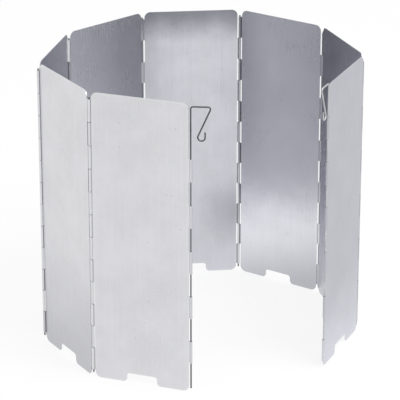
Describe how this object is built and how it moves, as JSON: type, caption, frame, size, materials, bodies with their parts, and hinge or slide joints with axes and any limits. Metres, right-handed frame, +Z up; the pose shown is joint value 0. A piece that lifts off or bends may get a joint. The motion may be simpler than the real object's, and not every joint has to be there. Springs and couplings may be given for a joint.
{
  "type": "folding stove windscreen",
  "caption": "Folding camp stove windscreen: a ring of thin hinged metal plates with air notches at the foot and a hook wire at each free edge.",
  "frame": {"origin": "on the ground, under the middle of the standing ring's outline", "axes": "+Z up, +X to the right along the back plate, -Y towards the gap in the ring"},
  "size_m": [0.2622, 0.248, 0.2421],
  "materials": {
    "plate": "satin mill finish",
    "wire": "plain drawn wire"
  },
  "bodies": {
    "plate_5": {"plate_5": "plate", "hinge_wire_4": "wire", "hinge_wire_5": "wire"},
    "plate_4": {"plate_4": "plate", "hinge_wire_3": "wire"},
    "plate_3": {"plate_3": "plate", "hinge_wire_2": "wire"},
    "plate_2": {"plate_2": "plate", "hinge_wire_1": "wire"},
    "plate_1": {"plate_1": "plate"},
    "plate_6": {"plate_6": "plate", "hinge_wire_6": "wire"},
    "plate_7": {"plate_7": "plate", "hinge_wire_7": "wire"},
    "plate_8": {"plate_8": "plate"},
    "left_hook": {"left_hook": "wire"},
    "right_hook": {"right_hook": "wire"}
  },
  "joints": [
    {"name": "hinge_4", "type": "hinge", "parent": "plate_5", "child": "plate_4", "pos_m": [-0.03884, 0.12287, 0.12], "axis": [0, 0, 1], "range_deg": [-218, 0]},
    {"name": "hinge_3", "type": "hinge", "parent": "plate_4", "child": "plate_3", "pos_m": [-0.10281, 0.0692, 0.12], "axis": [0, 0, 1], "range_deg": [0, 147]},
    {"name": "hinge_2", "type": "hinge", "parent": "plate_3", "child": "plate_2", "pos_m": [-0.12999, -0.00975, 0.12], "axis": [0, 0, 1], "range_deg": [-223.5, 0]},
    {"name": "hinge_1", "type": "hinge", "parent": "plate_2", "child": "plate_1", "pos_m": [-0.09274, -0.08448, 0.12], "axis": [0, 0, 1], "range_deg": [0, 140.5]},
    {"name": "hinge_5", "type": "hinge", "parent": "plate_5", "child": "plate_6", "pos_m": [0.04466, 0.12287, 0.12], "axis": [0, 0, 1], "range_deg": [-138.5, 0]},
    {"name": "hinge_6", "type": "hinge", "parent": "plate_6", "child": "plate_7", "pos_m": [0.10909, 0.06976, 0.12], "axis": [0, 0, 1], "range_deg": [0, 213.94]},
    {"name": "hinge_7", "type": "hinge", "parent": "plate_7", "child": "plate_8", "pos_m": [0.12999, -0.01108, 0.12], "axis": [0, 0, 1], "range_deg": [-136.5, 0]},
    {"name": "left_hook_turn", "type": "hinge", "parent": "plate_1", "child": "left_hook", "pos_m": [-0.01769, -0.12108, 0.12], "axis": [0, 0, 1], "range_deg": [-181, 4]},
    {"name": "right_hook_turn", "type": "hinge", "parent": "plate_8", "child": "right_hook", "pos_m": [0.09209, -0.08548, 0.12], "axis": [0, 0, -1], "range_deg": [-165, 15]}
  ],
  "couplings": [
    {"joint": "hinge_4", "follows": "hinge_6", "ratio": -1.0187},
    {"joint": "hinge_3", "follows": "hinge_6", "ratio": 0.68683},
    {"joint": "hinge_2", "follows": "hinge_6", "ratio": -1.0444},
    {"joint": "hinge_1", "follows": "hinge_6", "ratio": 0.65645},
    {"joint": "hinge_5", "follows": "hinge_6", "ratio": -0.6471},
    {"joint": "hinge_7", "follows": "hinge_6", "ratio": -0.63775}
  ]
}
